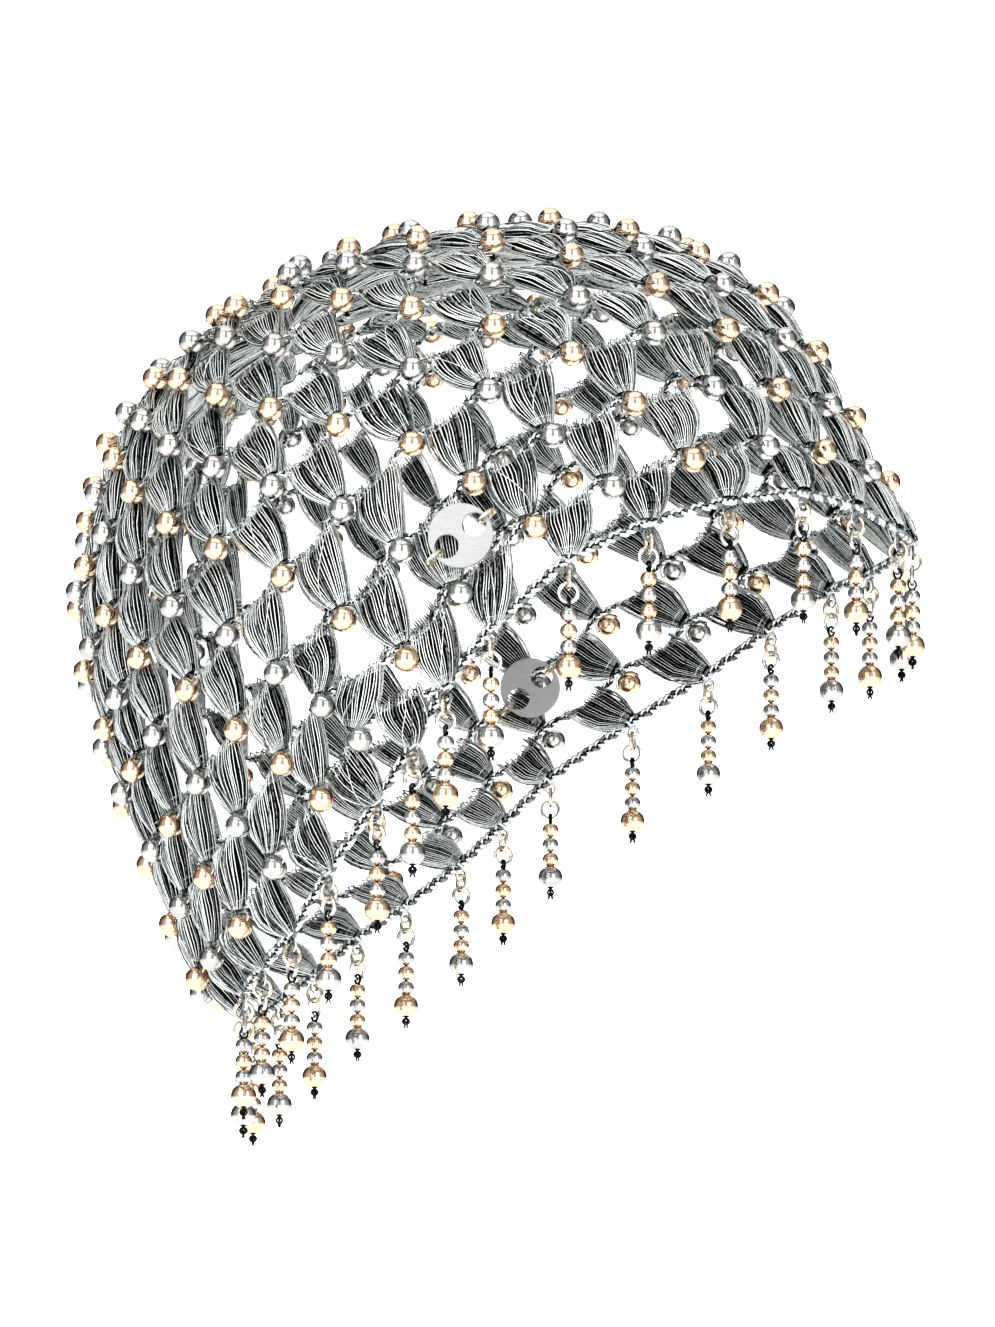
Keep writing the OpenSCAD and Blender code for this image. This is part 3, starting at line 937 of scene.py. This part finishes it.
def disc(name, node, place):
    """A round plate with two round holes and broken edges."""
    along, side, rise, p = surface_axes(*place)
    deselect()
    bpy.ops.mesh.primitive_cylinder_add(vertices=96, radius=DISC_R * MM, depth=DISC_THICK * MM)
    plate = bpy.context.object
    for s in (-1, 1):
        deselect()
        bpy.ops.mesh.primitive_cylinder_add(vertices=64, radius=HOLE_R * MM, depth=4 * MM,
                                            location=(s * HOLE_AT * MM, 0, 0))
        cutter = bpy.context.object
        cut = plate.modifiers.new("hole", "BOOLEAN")
        cut.object = cutter
        cut.operation = "DIFFERENCE"
        cut.solver = "EXACT"
        deselect()
        plate.select_set(True)
        bpy.context.view_layer.objects.active = plate
        bpy.ops.object.modifier_apply(modifier="hole")
        bpy.data.objects.remove(cutter)
    edge = plate.modifiers.new("edge", "BEVEL")
    edge.width = DISC_EDGE * MM
    edge.segments = 2
    edge.limit_method = "ANGLE"
    bpy.ops.object.modifier_apply(modifier="edge")
    bpy.ops.object.shade_smooth_by_angle(angle=0.25)
    rows = [(along[k], side[k], rise[k], p[k]) for k in range(3)]
    plate.data.transform(Matrix((*rows, (0, 0, 0, 1))))
    plate.data.materials.clear()
    plate.data.materials.append(brushed_disc)
    plate.name = name
    keep(plate, node)


# Level, column and distance out from the wall
DISC_PLACES = {"disc_right": (2.24, 8.37, 5.2), "disc_left": (2.31, 22.1, -6.4)}
ring_places = []
for node, place in DISC_PLACES.items():
    disc(node + "_plate", node, place)
    along, side, rise, p = surface_axes(*place)
    for s in (-1, 1):
        c = p + (along * s * DISC_R - rise * math.copysign(RING_BEHIND, place[2])) * MM
        ring_places.append(at(c, side, -rise))
ring_set("disc_jump_rings", "disc_rings", pale_gold_wire, ring_places)

# The masters are not part of the cap.
for o in (mesh_bead, large_bead, small_bead, jump_ring, core):
    bpy.data.objects.remove(o)

# Camera at the photograph's angle, floor and soft light. The focal length and the shifts are
# counted in pixels of a frame with this long side.
LOOK_AZIMUTH, LOOK_RISE = math.radians(14), math.radians(5.5)
LONG_SIDE, SENSOR = 1327, 36
FOCAL_PIXELS, SHIFT_X, SHIFT_Y = 6528, -31, -18
DISTANCE = 1.6
look = Vector((math.cos(LOOK_AZIMUTH) * math.cos(LOOK_RISE),
               math.sin(LOOK_AZIMUTH) * math.cos(LOOK_RISE), math.sin(LOOK_RISE)))
target = Vector(world((0, 0, 0)))
camera = bpy.data.objects.new("camera", bpy.data.cameras.new("camera"))
bpy.context.scene.collection.objects.link(camera)
camera.data.lens = FOCAL_PIXELS * SENSOR / LONG_SIDE
camera.data.shift_x = SHIFT_X / LONG_SIDE
camera.data.shift_y = SHIFT_Y / LONG_SIDE
camera.data.clip_start, camera.data.clip_end = 0.1, 40
camera.location = target - look * DISTANCE
camera.rotation_mode = "QUATERNION"
camera.rotation_quaternion = look.to_track_quat("-Z", "Y")
bpy.context.scene.camera = camera

FLOOR_SIZE, FLOOR_Z = 12, -0.36
deselect()
bpy.ops.mesh.primitive_plane_add(size=FLOOR_SIZE, location=(0, 0, FLOOR_Z))
floor = bpy.context.object
floor.name = "floor"
ground = Finish("pale_floor", Roughness=0.9)
pale = ground.ramp(ground.noise(3, 2), [(0.3, (0.9,) * 3), (0.7, (0.93,) * 3)])
ground.feed("Base Color", pale)
ground.shader.inputs["Emission Color"].default_value = (1, 1, 1, 1)
ground.shader.inputs["Emission Strength"].default_value = 0.35
floor.data.materials.append(ground.material)

right_of_view = Vector((math.sin(LOOK_AZIMUTH), -math.cos(LOOK_AZIMUTH), 0))
flat_look = Vector((look.x, look.y, 0)).normalized()
middle = Vector((0, -0.05, -0.08))


def softbox(name, beyond, right, above, width, height, power):
    """A soft light aimed at the cap's middle. Its place is counted from there as the camera
    looks, in metres."""
    place = middle + flat_look * beyond + right_of_view * right + Vector((0, 0, above))
    light = bpy.data.lights.new(name, "AREA")
    light.shape = "RECTANGLE"
    light.size, light.size_y, light.energy = width, height, power
    o = bpy.data.objects.new(name, light)
    o.location = place
    o.rotation_mode = "QUATERNION"
    o.rotation_quaternion = (middle - place).to_track_quat("-Z", "Y")
    bpy.context.scene.collection.objects.link(o)


softbox("key_box", -1.1, -0.62, 0.45, 0.9, 1.3, 5.2)
softbox("fill_box", -1.1, 0.7, 0.35, 0.8, 1.3, 3)
softbox("top_box", 0, 0, 1.3, 1.6, 1.6, 5)
softbox("back_box", 1.1, 0, 0.8, 1.3, 0.9, 2.5)

# The room is bright on the camera's side and dark behind the cap, and its wall is seen white.
room = bpy.data.worlds.new("studio")
bpy.context.scene.world = room
studio = Nodes(room)
facing = studio.add("ShaderNodeVectorMath", {"operation": "DOT_PRODUCT"},
                    {0: studio.add("ShaderNodeTexCoord", out="Generated"), 1: -look}, "Value")
shade = studio.add("ShaderNodeMapRange", {}, {"Value": facing, "From Min": -0.65, "From Max": 0.25,
                                              "To Min": 0.07, "To Max": 0.42})
lit = studio.add("ShaderNodeBackground", {}, {"Color": shade, "Strength": 1})
seen = studio.add("ShaderNodeBackground", {}, {"Color": (1, 1, 1, 1), "Strength": 1.05})
by_camera = studio.add("ShaderNodeLightPath", out="Is Camera Ray")
wall = studio.add("ShaderNodeMixShader", {}, {0: by_camera, 1: lit, 2: seen})
studio.links.new(wall.socket, studio.nodes["World Output"].inputs["Surface"])
bpy.context.scene.view_settings.view_transform = "Standard"
bpy.context.scene.view_settings.look = "Very High Contrast"

bpy.context.view_layer.update()
